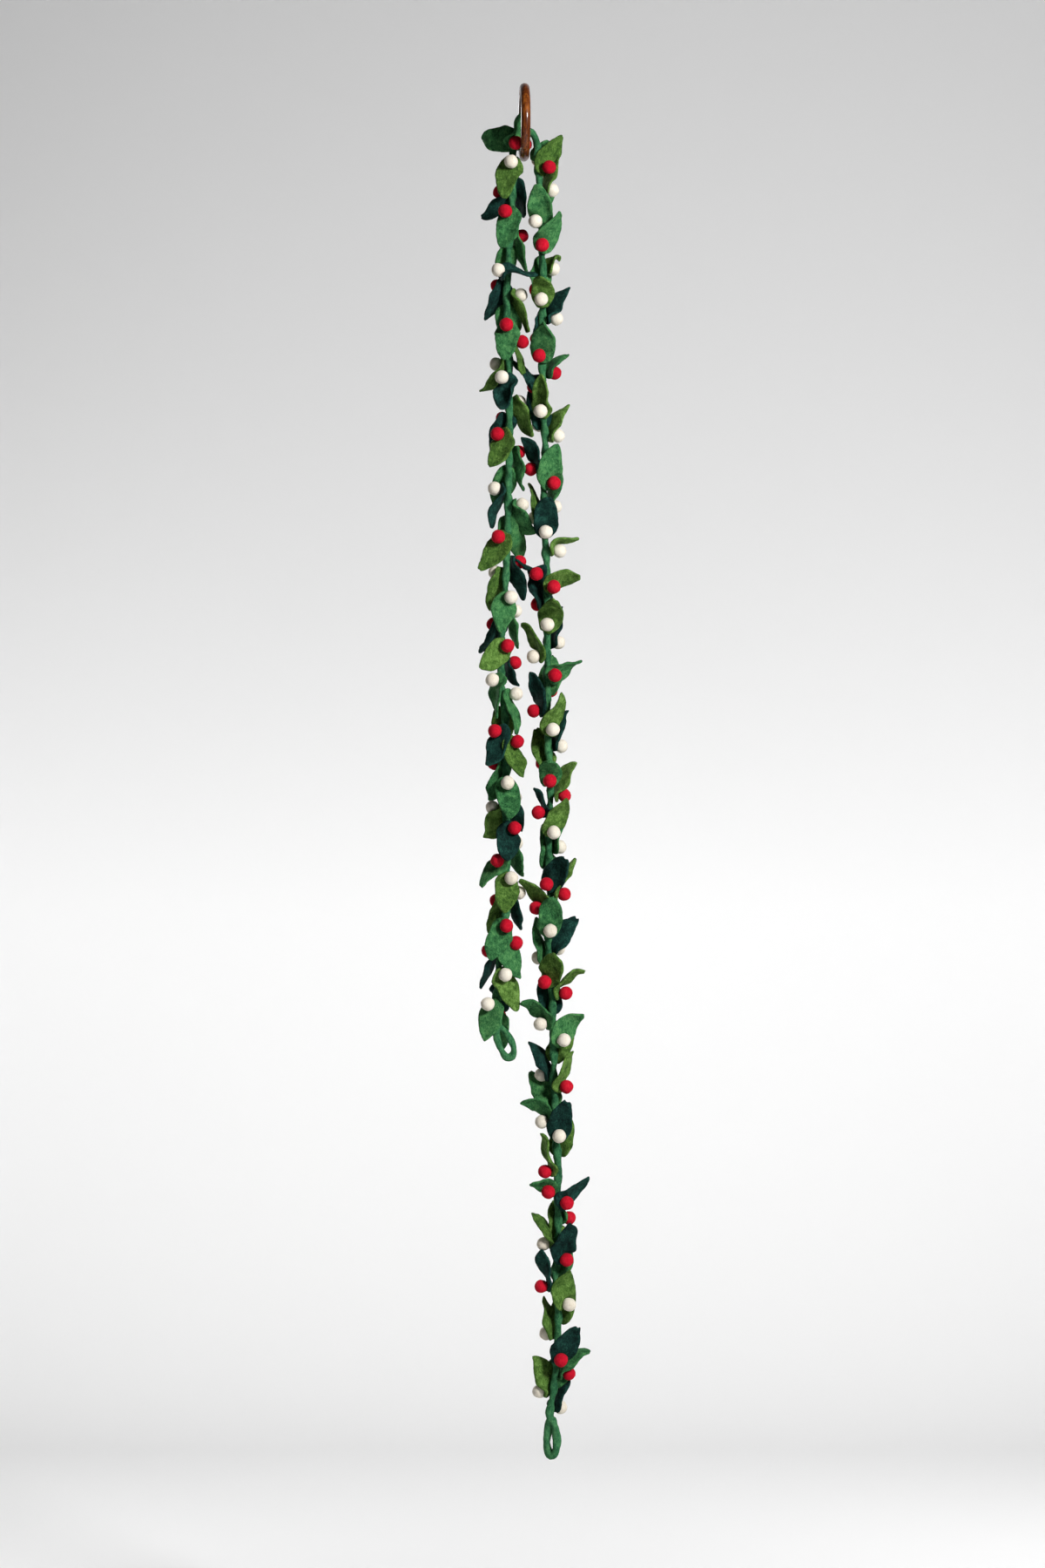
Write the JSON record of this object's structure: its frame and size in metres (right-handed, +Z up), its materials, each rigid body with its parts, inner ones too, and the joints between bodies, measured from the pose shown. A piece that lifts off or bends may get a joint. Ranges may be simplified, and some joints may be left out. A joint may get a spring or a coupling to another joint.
{
  "type": "felt ball garland on a wooden ring",
  "caption": "Felted cord with sewn leaves, a round felt ball at each leaf's base, doubled over a wooden ring so that two strands hang side by side, each ending in a loop.",
  "frame": {"origin": "top of the wooden ring, where it hangs from its thread", "axes": "+Z up, +X to the viewer's right, +Y away from the viewer"},
  "size_m": [0.1262, 0.0844, 1.5003],
  "materials": {
    "ring_wood": "turned and lacquered",
    "stem_felt": "rolled wool felt",
    "leaf_kelly": "thick wool felt",
    "leaf_olive": "thick wool felt",
    "leaf_teal": "thick wool felt",
    "ball_red": "rolled wool felt",
    "ball_white": "rolled wool felt"
  },
  "bodies": {
    "root": {"ring": "ring_wood", "stem": "stem_felt", "loop_left": "stem_felt", "loop_right": "stem_felt", "sprigs_left_01": "leaf_kelly", "sprigs_left_02": "leaf_kelly", "sprigs_left_03": "leaf_kelly", "sprigs_left_04": "leaf_kelly", "sprigs_left_05": "leaf_kelly", "sprigs_left_06": "leaf_kelly", "sprigs_left_07": "leaf_kelly", "sprigs_left_08": "leaf_kelly", "sprigs_left_09": "leaf_kelly", "sprigs_left_10": "leaf_kelly", "sprigs_left_11": "leaf_kelly", "sprigs_left_12": "leaf_kelly", "sprigs_left_13": "leaf_kelly", "sprigs_left_14": "leaf_kelly", "sprigs_left_15": "leaf_kelly", "sprigs_left_16": "leaf_kelly", "sprigs_left_17": "leaf_kelly", "sprigs_left_18": "leaf_kelly", "sprigs_left_19": "leaf_kelly", "sprigs_right_01": "leaf_kelly", "sprigs_right_02": "leaf_kelly", "sprigs_right_03": "leaf_kelly", "sprigs_right_04": "leaf_kelly", "sprigs_right_05": "leaf_kelly", "sprigs_right_06": "leaf_kelly", "sprigs_right_07": "leaf_kelly", "sprigs_right_08": "leaf_kelly", "sprigs_right_09": "leaf_kelly", "sprigs_right_10": "leaf_kelly", "sprigs_right_11": "leaf_kelly", "sprigs_right_12": "leaf_kelly", "sprigs_right_13": "leaf_kelly", "sprigs_right_14": "leaf_kelly", "sprigs_right_15": "leaf_kelly", "sprigs_right_16": "leaf_kelly", "sprigs_right_17": "leaf_kelly", "sprigs_right_18": "leaf_kelly", "sprigs_right_19": "leaf_kelly", "sprigs_right_20": "leaf_kelly", "sprigs_right_21": "leaf_kelly", "sprigs_right_22": "leaf_kelly", "sprigs_right_23": "leaf_kelly", "sprigs_right_24": "leaf_kelly", "sprigs_right_25": "leaf_kelly", "sprigs_right_26": "leaf_kelly"}
  },
  "joints": []
}
